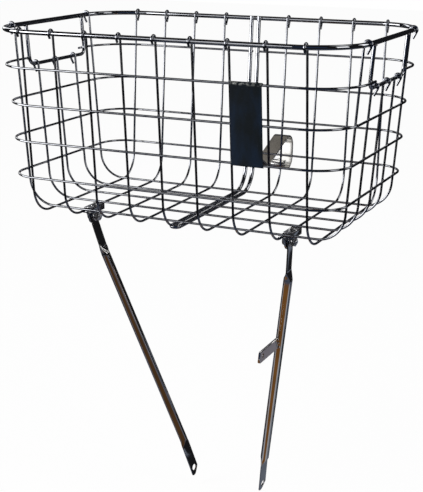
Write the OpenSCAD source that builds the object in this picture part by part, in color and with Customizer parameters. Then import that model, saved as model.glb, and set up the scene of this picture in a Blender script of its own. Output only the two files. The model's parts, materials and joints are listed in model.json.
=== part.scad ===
// Wire handlebar basket with a strip hook for the handlebar and two hinged support legs.
// Sizes are in millimetres. The origin is the centre of the handlebar's seat in the hook.
// X runs across the bicycle, Y points back to the rider and Z points up.

/* [Basket] */
// Width of the top rim between wire centres
rim_width = 409; // [380:1:440]
// Depth of the top rim between wire centres
rim_depth = 258; // [240:1:280]
// Corner radius of the top rim
rim_corner = 57; // [50:1:62]
// Corner radius of the lowest hoop
base_corner = 32; // [26:1:36]
// Outward lean of all four walls in degrees
wall_lean = 4.3; // [2:0.1:6]
// Height from one hoop to the next
hoop_pitch = 40; // [36:1:44]
// Height of the rim above the top hoop
rim_above = 38.5; // [32:0.5:44]
// Depth of the floor wires below the lowest hoop
floor_drop = 42.4; // [38:0.2:48]
// Bend radius between wall and floor
floor_bend = 30; // [24:1:34]
// Spacing of the cross wires, which run front to back
cross_pitch = 40; // [37:0.5:41]
// Spacing of the long wires, which run side to side
long_pitch = 39; // [36:0.5:41]

/* [Wire] */
// Diameter of the mesh wires
wire_d = 2.5; // [2:0.1:3]
// Diameter of the rim wire
rim_d = 5; // [4:0.1:6]
// Diameter of the handle loops' wire
loop_d = 4; // [3:0.1:5]
// Diameter of the centre hairpin's rod
hairpin_d = 4.5; // [4:0.1:5]
// Distance between the two centres of the hairpin's rods
hairpin_gap = 9.2; // [8.6:0.1:12]
// Turn of each wire's hook over the rim in degrees
hook_turn = 203; // [185:1:208]
// Length of each wire's straight tail outside the rim
tail = 8.5; // [5:0.5:12]
// Length of the tails along the front of the rim
front_tail = 3.5; // [1:0.5:8]
// Room left at each weld
weld = 0.1; // [0.05:0.01:0.2]

/* [Handles] */
// Distance between the centres of a loop's two uprights
loop_width = 114; // [104:1:124]
// Extra width of the left loop at its rear
left_loop_more = 9; // [0:0.5:10]
// Width that the left loop lacks at its front
left_loop_less = 6.5; // [0:0.5:7]
// Drop of the loop's bar below the top hoop
loop_drop = 7; // [6:0.5:9]
// Bend radius of the loop's corners
loop_bend = 9; // [6:1:14]
// Length that the top hoop runs past each upright
hoop_past = 7; // [3:0.5:9]

/* [Front plate] */
// Width of the plate
plate_width = 34; // [28:0.5:36]
// Sheet thickness of the plate
plate_t = 1; // [0.6:0.1:1.4]
// Turn of the plate's upper fold in degrees
plate_fold = 150; // [130:1:160]
// Room between the plate and the wire beside it
plate_side = 0.4; // [0.2:0.1:2]

/* [Handlebar hook] */
// Width of the strip
strip_width = 20; // [16:0.5:26]
// Thickness of the strip
strip_t = 2; // [1.6:0.1:2.6]
// Diameter of the handlebar
bar_d = 25.4; // [22.2:0.1:31.8]
// Radial clearance round the handlebar
bar_clear = 0.1; // [0:0.05:0.2]
// Distance of the handlebar's centre behind the wall at the lowest hoop
hook_reach = 101.4; // [95:0.2:110]
// Depth of the handlebar's centre below the lowest hoop
hook_drop = 10.6; // [6:0.2:16]
// Slope of the ramp in degrees
ramp_slope = 22; // [18:0.5:26]
// Length of the ramp between its fold and the seat
ramp = 66; // [58:0.5:70]
// Turn of the seat round the handlebar in degrees
seat_turn = 115; // [112:1:122]
// Length of the straight part below the seat
hook_fall = 13; // [11:0.5:16]
// Radius of the bend below it
hook_bend = 15.5; // [14:0.5:17]
// Turn of that bend in degrees
hook_bend_turn = 107; // [100:1:112]
// Length of the straight part before the curled end
hook_toe = 8; // [6:0.5:10]
// Radius of the curled end
curl_r = 4.3; // [4:0.1:5]
// Turn of the curled end in degrees
curl_turn = 160; // [140:1:170]

/* [Legs] */
// Diameter of a leg's tube
leg_d = 10; // [8:0.2:11]
// Width of the flattened ends
flat_width = 14; // [13:0.5:16]
// Thickness of the flattened ends
flat_t = 2; // [1.6:0.1:2.6]
// Diameter of the axle eye
eye_d = 8.5; // [7:0.1:9]
// Distance between the two axle eyes
eye_width = 95; // [85:1:110]
// Drop from the pivot to the axle eye
leg_drop = 347.8; // [320:1:380]
// Distance of the axle eye behind the pivot
leg_back = 100.1; // [90:1:110]
// Drop from the pivot to the start of the round tube
knee_drop = 44.3; // [40:0.5:50]
// Length of the foot below the axle eye
foot_past = 9; // [8.5:0.5:11]
// Length of the squeezed part between a flat end and the round tube
squeeze_length = 10; // [7:0.5:14]
// Length of the lamp tab
tab_length = 57; // [40:1:65]
// Height of the lamp tab
tab_height = 12.4; // [11:0.2:16]
// Thickness of the lamp tab
tab_t = 3; // [2:0.1:4]
// Diameter of the hole in the lamp tab
tab_hole = 5.5; // [4.5:0.1:6.5]
// Drop from the pivot to the middle of the lamp tab
tab_drop = 128.6; // [110:1:150]

/* [Clamps] */
// Thickness of the clamp plate and of the bracket
clamp_t = 2; // [1.6:0.1:2.4]
// Length of the clamp plate
clamp_length = 26; // [22:0.5:30]
// Distance from each pivot to the cross wire beside it
pivot_aside = 3.8; // [3.4:0.1:4.4]
// Diameter of the clamp screw
screw_d = 5; // [4:0.1:5.5]
// Diameter of the pivot bolt
pivot_d = 6; // [5:0.1:6.5]
// Radial clearance between a leg and its pivot bolt
pivot_clear = 0.05; // [0.02:0.01:0.1]
// Room on each side of a leg at its pivot
side_clear = 0.3; // [0.3:0.05:0.6]

/* [Hidden] */
$fn = 48;

// Wire radii and the offsets between wires that lie against each other
wire_r = wire_d / 2;
rim_r = rim_d / 2;
loop_r = loop_d / 2;
hairpin_r = hairpin_d / 2;
rim_wrap = rim_r + wire_r + weld;
loop_wrap = loop_r + wire_r + weld;
hoop_out = wire_d + weld;

// Heights above the lowest hoop
top_z = 3 * hoop_pitch;
rim_z = top_z + rim_above;
loop_z = top_z - loop_drop;

// Half sizes of the mesh at the lowest hoop, and of the rim
half_w = rim_width / 2;
half_d = rim_depth / 2;
base_w = half_w - rim_wrap / cos(wall_lean) - rim_z * tan(wall_lean);
base_d = half_d - rim_wrap / cos(wall_lean) - rim_z * tan(wall_lean);
top_hoop_w = at(base_w, top_z, loop_wrap + loop_r + wire_r + weld);
loop_half = loop_width / 2;

// Beads in the joints of bent wires: their gap and how far they stand proud
joint_gap = 0.2;
bead_over = 0.03;

// Floor levels: the cross wires lie under the long wires
long_floor = floor_drop - wire_d - weld;
hairpin_floor = floor_drop + hairpin_r - wire_r;

// Turn of the floor bend that the front centre wire leaves out
front_stop = 14;

// Place of the handlebar's seat behind the basket
seat_y = base_d + hook_reach;
seat_z = -hook_drop;
seat_r = bar_d / 2 + bar_clear;
seat_mid = seat_r + strip_t / 2;

// Clamp levels and the pivots
plate_z = -floor_drop + wire_r + weld;
leaf_z = -floor_drop - wire_r - weld;
clamp_y = -1.5 * long_pitch;
clamp_x = 3 * cross_pitch;
pivot_y = clamp_y + 12.8;
pivot_z = leaf_z - clamp_t - flat_width / 2 - 2.45;
bracket_r = flat_width / 2 + 2;
bracket_side = pivot_aside + flat_t / 2 + side_clear + clamp_t;
screw_x = wire_r + screw_d / 2 + 0.55;
plate_side_x = screw_x + screw_d / 2 + weld + 0.5 + clamp_t;
nut_d = 1.78 * pivot_d;
small_nut_d = 1.78 * screw_d;

// Points on the right leg, which the left leg mirrors
knee = [clamp_x - 6.4, pivot_y + 4.2, pivot_z - knee_drop];
foot = [eye_width / 2, pivot_y + leg_back, pivot_z - leg_drop];
ankle = foot + [8, -12.9, 43];
tab_share = (pivot_z - tab_drop - knee[2]) / (ankle[2] - knee[2]);
tab_root = knee + tab_share * (ankle - knee);
foot_tilt = atan2(0.3, 1);
top_tilt = atan2(0.095, 1);
eye_strip = 9;

// Distance from the middle of a line that lies a given way outside the leaning wall
function at(base, z, out) = base + z * tan(wall_lean) + out / cos(wall_lean);

// Corner radius of a hoop at a height
function corner_at(z) = base_corner + (rim_corner - base_corner) * z / rim_z;

// How far a rounded corner has drawn in at a distance past its start
function drawn_in(r, past) = past > 0 ? r - sqrt(r * r - past * past) : 0;

// Distances of a loop's uprights before and behind the middle
function loop_front(side) = loop_half - (side < 0 ? left_loop_less : 0);
function loop_rear(side) = loop_half + (side < 0 ? left_loop_more : 0);

// Lean of a wire that passes the lowest hoop and hooks over a rod from the inside
function lean_to(base, rod, rod_z, wrap) =
    atan2(rod - base, rod_z) - asin(wrap / norm([rod - base, rod_z]));

// A profile carried along straight runs [length] and bends [radius, turn], where a positive turn is to the left.
// Where a run follows a bend that is not square, a bead closes the joint: a ball, or a sleeve on a strip of a given width.
module along(moves, bead, wide = 0, i = 0) {
    if (i < len(moves)) {
        move = moves[i];
        if (len(move) == 1) {
            beaded = i > 0 && len(moves[i - 1]) == 2 && abs(moves[i - 1][1]) != 90;
            start = beaded ? joint_gap : 0;
            if (beaded) {
                translate([joint_gap / 2, 0, 0]) joint_bead(bead + bead_over, wide);
            }
            translate([start, 0, 0]) rotate([90, 0, 90]) linear_extrude(move[0] - start) children();
            translate([move[0], 0, 0]) along(moves, bead, wide, i + 1) children();
        } else {
            turn = abs(move[1]);
            side = move[1] > 0 ? 1 : -1;
            if (side > 0) {
                left_bend(move[0], turn) children();
            } else {
                mirror([0, 1, 0]) left_bend(move[0], turn) children();
            }
            translate([move[0] * sin(turn), side * move[0] * (1 - cos(turn)), 0])
                rotate([0, 0, move[1]])
                along(moves, bead, wide, i + 1) children();
        }
    }
}

module joint_bead(r, wide) {
    if (wide > 0) {
        cube([3 * joint_gap, 2 * r, wide + 2 * bead_over], center = true);
    } else {
        sphere(r);
    }
}

module left_bend(radius, turn) {
    translate([0, radius, 0])
        rotate([0, 0, -90])
        rotate_extrude(angle = turn)
        translate([radius, 0]) children();
}

// A closed hoop with round corners
module hoop(w, d, corner, r) {
    translate([corner - w, -d, 0])
        along([[2 * (w - corner)], [corner, 90], [2 * (d - corner)], [corner, 90],
               [2 * (w - corner)], [corner, 90], [2 * (d - corner)], [corner, 90]], r)
        circle(r);
}

// Half length of a mesh wire's floor run, to the nearest hundredth
function floor_run(base, floor, rod, rod_z, wrap) =
    let (lean = lean_to(base, rod, rod_z, wrap))
    round(100 * (base - floor * tan(lean) - floor_bend * tan((90 - lean) / 2))) / 100;

// One end of a mesh wire, from its floor bend, less a turn that is left out, up the wall and over a rod
module wire_end(base, floor, rod, rod_z, wrap, last = tail, skip = 0) {
    lean = lean_to(base, rod, rod_z, wrap);
    cut = floor_bend * tan((90 - lean) / 2);
    wall = (rod_z + wrap * sin(lean) + floor) / cos(lean) - cut;
    run = floor_run(base, floor, rod, rod_z, wrap);
    translate([run + floor_bend * sin(skip), floor_bend * (1 - cos(skip)) - floor, 0])
        rotate([0, 0, skip])
        along([[floor_bend, 90 - lean - skip], [wall], [wrap, -hook_turn], [last]], wire_r)
        circle(wire_r);
}

// A mesh wire with both ends hooked, the near one with a tail of its own
module mesh_wire(base, floor, rod, rod_z, wrap, near_tail = tail) {
    run = floor_run(base, floor, rod, rod_z, wrap);
    translate([-run, -floor, 0]) along([[2 * run]], wire_r) circle(wire_r);
    for (turned = [0, 180]) {
        rotate([0, turned, 0]) wire_end(base, floor, rod, rod_z, wrap, turned == 0 ? tail : near_tail);
    }
}

// Everything is drawn round the lowest hoop and placed with the handlebar's seat at the origin
module placed() {
    translate([0, -seat_y, -seat_z]) children();
}

module plated() {
    color([0.62, 0.63, 0.65]) children();
}

module top_rim() {
    plated() placed() translate([0, 0, rim_z]) hoop(half_w, half_d, rim_corner, rim_r);
}

module handle_loop(side) {
    rim_up = (half_w - base_w) * sin(wall_lean) + rim_z * cos(wall_lean);
    bar_up = (loop_z + loop_wrap * sin(wall_lean)) / cos(wall_lean);
    upright = rim_up - rim_r - weld - bar_up - loop_bend;
    bar = loop_front(side) + loop_rear(side) - 2 * loop_bend;
    plated() placed()
        mirror([side < 0 ? 1 : 0, 0, 0])
        translate([base_w, 0, 0])
        rotate([0, wall_lean, 0])
        translate([loop_wrap, -loop_front(side), bar_up + loop_bend + upright])
        rotate([90, 0, 90])
        rotate([0, 0, -90])
        along([[upright], [loop_bend, 90], [bar], [loop_bend, 90], [upright]], loop_r)
        circle(loop_r);
}

module upper_hoop_front() {
    d = at(base_d, top_z, hoop_out);
    r = corner_at(top_z);
    left_end = loop_front(-1) - hoop_past;
    right_end = loop_front(1) - hoop_past;
    plated() placed()
        translate([-top_hoop_w, -left_end, top_z])
        rotate([0, 0, -90])
        along([[d - r - left_end], [r, 90], [2 * (top_hoop_w - r)], [r, 90], [d - r - right_end]], wire_r)
        circle(wire_r);
}

module upper_hoop_rear(side) {
    d = at(base_d, top_z, hoop_out);
    r = corner_at(top_z);
    end = loop_rear(side) - hoop_past;
    plated() placed()
        mirror([side < 0 ? 1 : 0, 0, 0])
        translate([top_hoop_w, end, top_z])
        rotate([0, 0, 90])
        along([[d - r - end], [r, 90], [top_hoop_w - r - hairpin_gap / 2 + 1.6]], wire_r)
        circle(wire_r);
}

module full_hoop(level) {
    z = level * hoop_pitch;
    plated() placed()
        translate([0, 0, z])
        hoop(at(base_w, z, hoop_out), at(base_d, z, hoop_out), corner_at(z), wire_r);
}

module cross_wire(k) {
    past = abs(k) * cross_pitch - (half_w - rim_corner);
    rod = half_d - drawn_in(rim_corner, past);
    plated() placed()
        translate([k * cross_pitch, 0, 0])
        rotate([90, 0, 90])
        mesh_wire(base_d, floor_drop, rod, rim_z, rim_wrap, front_tail);
}

module front_centre_wire() {
    plated() placed()
        rotate([90, 0, 90])
        rotate([0, 180, 0])
        wire_end(base_d, floor_drop, half_d, rim_z, rim_wrap, front_tail, front_stop);
}

module long_wire(j) {
    past = abs(j) * long_pitch - (half_d - rim_corner);
    outer = abs(j) == 2;
    rod = outer ? half_w - drawn_in(rim_corner, past) : at(base_w, loop_z, loop_wrap);
    plated() placed()
        translate([0, j * long_pitch, 0])
        rotate([90, 0, 0])
        mesh_wire(base_w, long_floor, rod, outer ? rim_z : loop_z, outer ? rim_wrap : loop_wrap);
}

module centre_hairpin() {
    half = hairpin_gap / 2;
    base = base_d - (hairpin_r - wire_r) / cos(wall_lean);
    cut = floor_bend * tan((90 - wall_lean) / 2);
    run = round(100 * (base - hairpin_floor * tan(wall_lean) - cut)) / 100;
    wall = (rim_z + rim_r + hairpin_floor) / cos(wall_lean) - cut;
    front_run = floor_run(base_d, floor_drop, half_d, rim_z, rim_wrap);
    front_end = front_run + floor_bend * sin(front_stop);
    below = floor_bend * (1 - cos(front_stop)) + hairpin_floor - floor_drop;
    touch = (hairpin_r + weld - below * sin(front_stop)) / cos(front_stop);
    nose = round(100 * (front_end - touch - half)) / 100;
    plated() placed() {
        translate([0, -nose, -hairpin_floor])
            rotate([0, 0, 180])
            rotate_extrude(angle = 180)
            translate([half, 0]) circle(hairpin_r);
        for (x = [-half, half]) {
            translate([x, -nose, -hairpin_floor])
                rotate([90, 0, 90])
                along([[nose + run], [floor_bend, 90 - wall_lean], [wall]], hairpin_r)
                circle(hairpin_r);
        }
    }
}

module front_plate() {
    hem = wire_r + weld + plate_t / 2;
    low_z = hoop_pitch;
    rise = (top_z - low_z) / cos(wall_lean);
    plated() placed()
        translate([2 * cross_pitch + wire_r + plate_side + plate_width / 2, 0, 0])
        mirror([0, 1, 0])
        rotate([90, 0, 90])
        translate([at(base_d, low_z, hoop_out), low_z, 0])
        rotate([0, 0, -wall_lean])
        translate([0, -hem, 0])
        along([[hem, 90], [rise], [hem, plate_fold]], plate_t / 2, plate_width)
        square([plate_t, plate_width], center = true);
}

module handlebar_hook() {
    lie = hoop_out + wire_r + weld + strip_t / 2;
    high_z = hoop_pitch + 8;
    low_z = -5;
    low = [at(base_d, low_z, lie), low_z];
    fold = [seat_y, seat_z] + seat_mid * [-sin(ramp_slope), cos(ramp_slope)]
        - ramp * [cos(ramp_slope), sin(ramp_slope)];
    link = fold - low;
    link_slope = atan2(link[1], link[0]);
    first_turn = link_slope + 90 + wall_lean;
    fold_turn = ramp_slope - link_slope;
    first_r = 4;
    fold_r = strip_t;
    first_cut = first_r * tan(first_turn / 2);
    fold_cut = fold_r * tan(fold_turn / 2);
    plated() placed()
        rotate([90, 0, 90])
        translate([at(base_d, high_z, lie), high_z, 0])
        rotate([0, 0, -90 - wall_lean])
        along([
            [(high_z - low_z) / cos(wall_lean) - first_cut],
            [first_r, first_turn],
            [norm(link) - first_cut - fold_cut],
            [fold_r, fold_turn],
            [ramp - fold_cut],
            [seat_mid, -seat_turn],
            [hook_fall],
            [hook_bend, -hook_bend_turn],
            [hook_toe],
            [curl_r, -curl_turn],
            [3.5]
        ], strip_t / 2, strip_width)
        square([strip_t, strip_width], center = true);
}

// Places a piece at the left or right clamp, with the clamped wire as its middle
module at_clamp(side) {
    plated() placed() translate([side * clamp_x, 0, 0]) children();
}

module clamp_plate(side) {
    edge = -wire_r - 0.75;
    front = clamp_y - clamp_length / 2;
    at_clamp(side)
        difference() {
            union() {
                translate([edge, front, plate_z])
                    cube([plate_side_x - edge, clamp_length, clamp_t]);
                translate([plate_side_x - clamp_t, front, leaf_z + weld])
                    cube([clamp_t, clamp_length, plate_z - leaf_z - weld + clamp_t / 2]);
            }
            translate([screw_x, clamp_y, leaf_z])
                cylinder(h = 20, d = screw_d + 2 * weld);
        }
}

module leg_bracket(side) {
    front = clamp_y - clamp_length / 2;
    back = pivot_y + bracket_r;
    under = leaf_z - clamp_t;
    at_clamp(side)
        difference() {
            union() {
                translate([-bracket_side, front, under])
                    cube([bracket_side + plate_side_x, clamp_length, clamp_t]);
                translate([-bracket_side, 0, 0])
                    rotate([90, 0, 90])
                    linear_extrude(clamp_t)
                    polygon([
                        [clamp_y - 1.5, under + clamp_t / 2],
                        [back, under + clamp_t / 2],
                        [back, pivot_z],
                        [pivot_y, pivot_z - bracket_r],
                        [pivot_y - 0.7 * bracket_r, pivot_z - 0.7 * bracket_r],
                        [clamp_y - 1.5, under - 1.2]
                    ]);
                translate([-bracket_side, pivot_y, pivot_z])
                    rotate([0, 90, 0])
                    cylinder(h = clamp_t, r = bracket_r);
            }
            translate([screw_x, clamp_y, leaf_z - 10])
                cylinder(h = 20, d = screw_d + 2 * weld);
            translate([-20, pivot_y, pivot_z])
                rotate([0, 90, 0])
                cylinder(h = 40, d = pivot_d + 2 * weld);
        }
}

module clamp_screws() {
    head_r = 0.95 * screw_d;
    head_h = 0.6 * screw_d;
    ball = (head_r * head_r + head_h * head_h) / (2 * head_h);
    top = plate_z + clamp_t + weld;
    end = leaf_z - clamp_t - 0.8 * screw_d - 2;
    for (side = [-1, 1]) {
        at_clamp(side) translate([screw_x, clamp_y, 0]) {
            translate([0, 0, end]) cylinder(h = top - end + head_h / 2, d = screw_d);
            intersection() {
                translate([0, 0, top + head_h - ball]) sphere(ball);
                translate([0, 0, top]) cylinder(h = head_h + 1, r = head_r + 1);
            }
        }
    }
}

module clamp_nuts() {
    for (side = [-1, 1]) {
        at_clamp(side) translate([screw_x, clamp_y, leaf_z - clamp_t - weld - 0.8 * screw_d])
            difference() {
                cylinder(h = 0.8 * screw_d, d = small_nut_d, $fn = 6);
                translate([0, 0, -1]) cylinder(h = screw_d + 2, d = screw_d + 2 * weld);
            }
    }
}

// Places a piece at the left or right pivot, along the bolt
module at_pivot(side) {
    at_clamp(side) translate([-pivot_aside, pivot_y, pivot_z]) rotate([0, 90, 0]) children();
}

module pivot_bolts() {
    inner = pivot_aside - bracket_side - weld;
    outer = flat_t / 2 + side_clear + 1 + weld + 0.8 * pivot_d + 1.5;
    for (side = [-1, 1]) {
        at_pivot(side) {
            translate([0, 0, inner - 0.65 * pivot_d]) cylinder(h = 0.65 * pivot_d, d = nut_d, $fn = 6);
            translate([0, 0, inner - 1]) cylinder(h = outer - inner + 1, d = pivot_d);
        }
    }
}

module pivot_washers() {
    for (side = [-1, 1]) {
        at_pivot(side) translate([0, 0, flat_t / 2 + side_clear])
            difference() {
                cylinder(h = 1, d = 2 * pivot_d);
                translate([0, 0, -1]) cylinder(h = 3, d = pivot_d + 2 * weld);
            }
    }
}

module pivot_nuts() {
    for (side = [-1, 1]) {
        at_pivot(side) translate([0, 0, flat_t / 2 + side_clear + 1 + weld])
            difference() {
                cylinder(h = 0.8 * pivot_d, d = nut_d, $fn = 6);
                translate([0, 0, -1]) cylinder(h = pivot_d + 2, d = pivot_d + 2 * weld);
            }
    }
}

// A round rod between two points
module rod_between(a, b, r) {
    d = b - a;
    translate(a)
        rotate([0, acos(d[2] / norm(d)), atan2(d[1], d[0])])
        cylinder(h = norm(d), r = r);
}

// The flat round a leg's pivot, with a round end
module top_end() {
    translate([-flat_t / 2, 0, 0]) rotate([0, 90, 0]) cylinder(h = flat_t, d = flat_width);
    translate([-flat_t / 2, -flat_width / 2, -eye_strip]) cube([flat_t, flat_width, eye_strip]);
}

// The flat round the axle eye, cut off square with its rear corner taken away
module foot_end() {
    half = flat_width / 2;
    translate([-flat_t / 2, 0, 0])
        rotate([90, 0, 90])
        linear_extrude(flat_t)
        polygon([
            [-half, eye_strip],
            [-half, 1.5 - foot_past],
            [1.5 - half, -foot_past],
            [half - 10, -foot_past],
            [half, 7.5 - foot_past],
            [half, eye_strip]
        ]);
}

// A thin slice across a flat end
module flat_slice(spot, tilt, trim) {
    translate(spot)
        rotate([tilt, 0, 0])
        cube([flat_t - 2 * trim, flat_width - 2 * trim, 0.2], center = true);
}

// The rest of a flat end, and the squeezed part between it and the round tube
module squeezed(eye, away, tilt, tube_end, tube_next) {
    from = eye + away * (eye_strip - joint_gap) * [0, -sin(tilt), cos(tilt)];
    back = (from - tube_end) / norm(from - tube_end);
    axis = (tube_next - tube_end) / norm(tube_next - tube_end);
    fold = tube_end + squeeze_length * back;
    hull() {
        flat_slice(from, tilt, 2 * bead_over);
        flat_slice(fold, tilt, 2 * bead_over);
    }
    hull() {
        flat_slice(fold + 3 * joint_gap * back, tilt, 4 * bead_over);
        rod_between(tube_end, tube_end + 4 * joint_gap * axis, leg_d / 2 - bead_over, $fn = 32);
    }
}

module leg(side) {
    pivot = [clamp_x - side * pivot_aside, pivot_y, pivot_z];
    plated() placed()
        mirror([side < 0 ? 1 : 0, 0, 0])
        difference() {
            union() {
                translate(pivot) rotate([top_tilt, 0, 0]) top_end();
                squeezed(pivot, -1, top_tilt, knee, ankle);
                rod_between(knee, ankle, leg_d / 2);
                squeezed(foot, 1, foot_tilt, ankle, knee);
                translate(foot) rotate([foot_tilt, 0, 0]) foot_end();
            }
            translate(pivot - [20, 0, 0]) rotate([0, 90, 0]) cylinder(h = 40, d = pivot_d + 2 * pivot_clear);
            translate(foot - [20, 0, 0]) rotate([0, 90, 0]) cylinder(h = 40, d = eye_d);
        }
}

module lamp_tab() {
    half = tab_height / 2;
    plated() placed()
        difference() {
            translate(tab_root - [1.5 + tab_t / 2, 0, 0])
                rotate([90, 0, 90])
                linear_extrude(tab_t)
                polygon([[0, -half], [0, half], [3.4 - tab_length, half], [-tab_length, -half]]);
            rod_between(knee, ankle, leg_d / 2 + weld);
            translate(tab_root - [20, tab_length - 9, -0.5])
                rotate([0, 90, 0])
                cylinder(h = 40, d = tab_hole);
        }
}

top_rim();
handle_loop(-1);  // left_handle_loop
handle_loop(1);  // right_handle_loop
upper_hoop_front();
upper_hoop_rear(-1);  // upper_hoop_rear_left
upper_hoop_rear(1);  // upper_hoop_rear_right
full_hoop(2);  // second_hoop
full_hoop(1);  // third_hoop
full_hoop(0);  // lowest_hoop
cross_wire(-4);  // cross_wire_1
cross_wire(-3);  // cross_wire_2
cross_wire(-2);  // cross_wire_3
cross_wire(-1);  // cross_wire_4
front_centre_wire();
cross_wire(1);  // cross_wire_5
cross_wire(2);  // cross_wire_6
cross_wire(3);  // cross_wire_7
cross_wire(4);  // cross_wire_8
long_wire(-2);  // long_wire_1
long_wire(-1);  // long_wire_2
long_wire(0);  // long_wire_3
long_wire(1);  // long_wire_4
long_wire(2);  // long_wire_5
centre_hairpin();
front_plate();
handlebar_hook();
clamp_plate(-1);  // left_clamp_plate
clamp_plate(1);  // right_clamp_plate
leg_bracket(-1);  // left_leg_bracket
leg_bracket(1);  // right_leg_bracket
clamp_screws();
clamp_nuts();
pivot_bolts();
pivot_washers();
pivot_nuts();
leg(-1);  // left_leg
leg(1);  // right_leg
lamp_tab();
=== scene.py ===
"""Looks of a plated wire handlebar basket with two hinged legs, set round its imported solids."""

import json
import math

import bmesh
import bpy
from mathutils import Matrix, Vector


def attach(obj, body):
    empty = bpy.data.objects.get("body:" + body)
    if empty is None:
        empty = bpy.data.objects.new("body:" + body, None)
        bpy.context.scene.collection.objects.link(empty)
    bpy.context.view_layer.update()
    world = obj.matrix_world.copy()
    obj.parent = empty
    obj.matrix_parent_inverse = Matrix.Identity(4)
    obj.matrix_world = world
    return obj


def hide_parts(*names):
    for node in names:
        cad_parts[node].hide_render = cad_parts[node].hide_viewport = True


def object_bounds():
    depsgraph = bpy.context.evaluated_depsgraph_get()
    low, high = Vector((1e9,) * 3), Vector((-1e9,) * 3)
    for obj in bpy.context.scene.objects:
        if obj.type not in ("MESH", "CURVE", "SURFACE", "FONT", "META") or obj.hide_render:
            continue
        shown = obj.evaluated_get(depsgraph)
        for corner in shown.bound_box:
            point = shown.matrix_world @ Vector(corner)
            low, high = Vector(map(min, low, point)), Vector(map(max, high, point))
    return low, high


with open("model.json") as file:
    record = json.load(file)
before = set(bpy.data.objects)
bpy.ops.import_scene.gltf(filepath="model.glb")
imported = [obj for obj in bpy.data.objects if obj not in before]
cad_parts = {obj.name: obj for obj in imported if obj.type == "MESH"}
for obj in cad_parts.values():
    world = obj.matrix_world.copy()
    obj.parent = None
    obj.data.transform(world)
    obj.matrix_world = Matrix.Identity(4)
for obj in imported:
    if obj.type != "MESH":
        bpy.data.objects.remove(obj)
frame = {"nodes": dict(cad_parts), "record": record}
cad_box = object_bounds()
nodes = frame["nodes"]
scene = bpy.context.scene
MM = 0.001


# Shader maths

class Value:
    """A socket that adds Math nodes as it is calculated with."""

    def __init__(self, paint, socket):
        self.paint = paint
        self.socket = socket

    def _math(self, operation, other):
        made = self.paint.node("ShaderNodeMath", {"operation": operation}, {0: self, 1: other})
        return made["Value"]

    def __add__(self, other):
        return self._math("ADD", other)

    __radd__ = __add__

    def __mul__(self, other):
        return self._math("MULTIPLY", other)

    __rmul__ = __mul__

    def clamp(self):
        made = self.paint.node("ShaderNodeClamp", {}, {"Value": self})
        return made["Result"]

    def between(self, low, high):
        """0 at low, 1 at high, smooth between them."""
        made = self.paint.node(
            "ShaderNodeMapRange",
            {"interpolation_type": "SMOOTHSTEP"},
            {"Value": self, "From Min": low, "From Max": high},
        )
        return made["Result"]


class Paint:
    """One material, or the world, and the nodes in it."""

    def __init__(self, tree):
        self.tree = tree
        tree.nodes.clear()

    def node(self, kind, settings=None, sockets=None):
        """A new node; its settings come first, then the values or links of its sockets."""
        made = self.tree.nodes.new(kind)
        for key, value in (settings or {}).items():
            setattr(made, key, value)
        for key, value in (sockets or {}).items():
            socket = made.inputs[key]
            if isinstance(value, Value):
                self.tree.links.new(value.socket, socket)
            elif socket.type == "RGBA":
                socket.default_value = (*value, 1)
            else:
                socket.default_value = value
        return Outputs(self, made)

    def mix(self, factor, first, second):
        """A colour between two others."""
        made = self.node(
            "ShaderNodeMix", {"data_type": "RGBA"}, {"Factor": factor, 6: first, 7: second}
        )
        return made[2]

    def place(self, scale=(1, 1, 1)):
        """Object coordinates, in metres, scaled."""
        coordinates = self.node("ShaderNodeTexCoord")["Object"]
        made = self.node("ShaderNodeMapping", {}, {"Vector": coordinates, "Scale": scale})
        return made["Vector"]

    def noise(self, scale, detail=3, roughness=0.55, vector=None):
        made = self.node(
            "ShaderNodeTexNoise",
            {},
            {
                "Vector": vector or self.place(),
                "Scale": scale,
                "Detail": detail,
                "Roughness": roughness,
            },
        )
        return made["Fac"]

    def bump(self, height, strength, distance):
        made = self.node(
            "ShaderNodeBump", {}, {"Height": height, "Strength": strength, "Distance": distance}
        )
        return made["Normal"]


class Outputs:
    """The outputs of a node, by name or number."""

    def __init__(self, paint, made):
        self.paint = paint
        self.made = made

    def __getitem__(self, name):
        return Value(self.paint, self.made.outputs[name])


def material(name):
    """A new material, and a painter for its nodes."""
    made = bpy.data.materials.new(name)
    made.use_nodes = True
    return made, Paint(made.node_tree)


def close(paint, **sockets):
    """Ends a material with its Principled shader."""
    given = {key.replace("_", " "): value for key, value in sockets.items()}
    shader = paint.node("ShaderNodeBsdfPrincipled", {}, given)
    paint.node("ShaderNodeOutputMaterial", {}, {"Surface": shader["BSDF"]})


# Finishes; the plate's top edge is a height in the frame, in metres

SPECK = (0.05, 0.04, 0.035)
DUST = (0.12, 0.13, 0.15)
BARE_METAL_AND_SHEEN = (0.36, 0.37, 0.35)
PLATE_TOP, RUBBED_AND_SHEEN_DEPTH = 0.1318, 0.003


def plated_finish(name, bright, dull, gloss, metal=1.0):
    """Polished plating with faint clouding, fine drawing lines and small specks."""
    made, paint = material(name)
    cloud = paint.noise(38, 4)
    lines = paint.noise(2400, 2, 0.5)
    speck = paint.noise(1400, 2, 0.6)
    clouded = cloud.between(0.38, 0.66)
    colour = paint.mix(clouded, bright, dull)
    spots = speck.between(0.68, 0.8)
    colour = paint.mix(spots * 0.25, colour, SPECK)
    rough = gloss + clouded * 0.03 + lines.between(0.45, 0.75) * 0.03 + spots * 0.1
    height = lines * 0.6 + speck * 0.4
    close(
        paint,
        Base_Color=colour,
        Metallic=metal,
        Roughness=rough,
        Normal=paint.bump(height, 0.01, 0.00002),
    )
    return made


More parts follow.
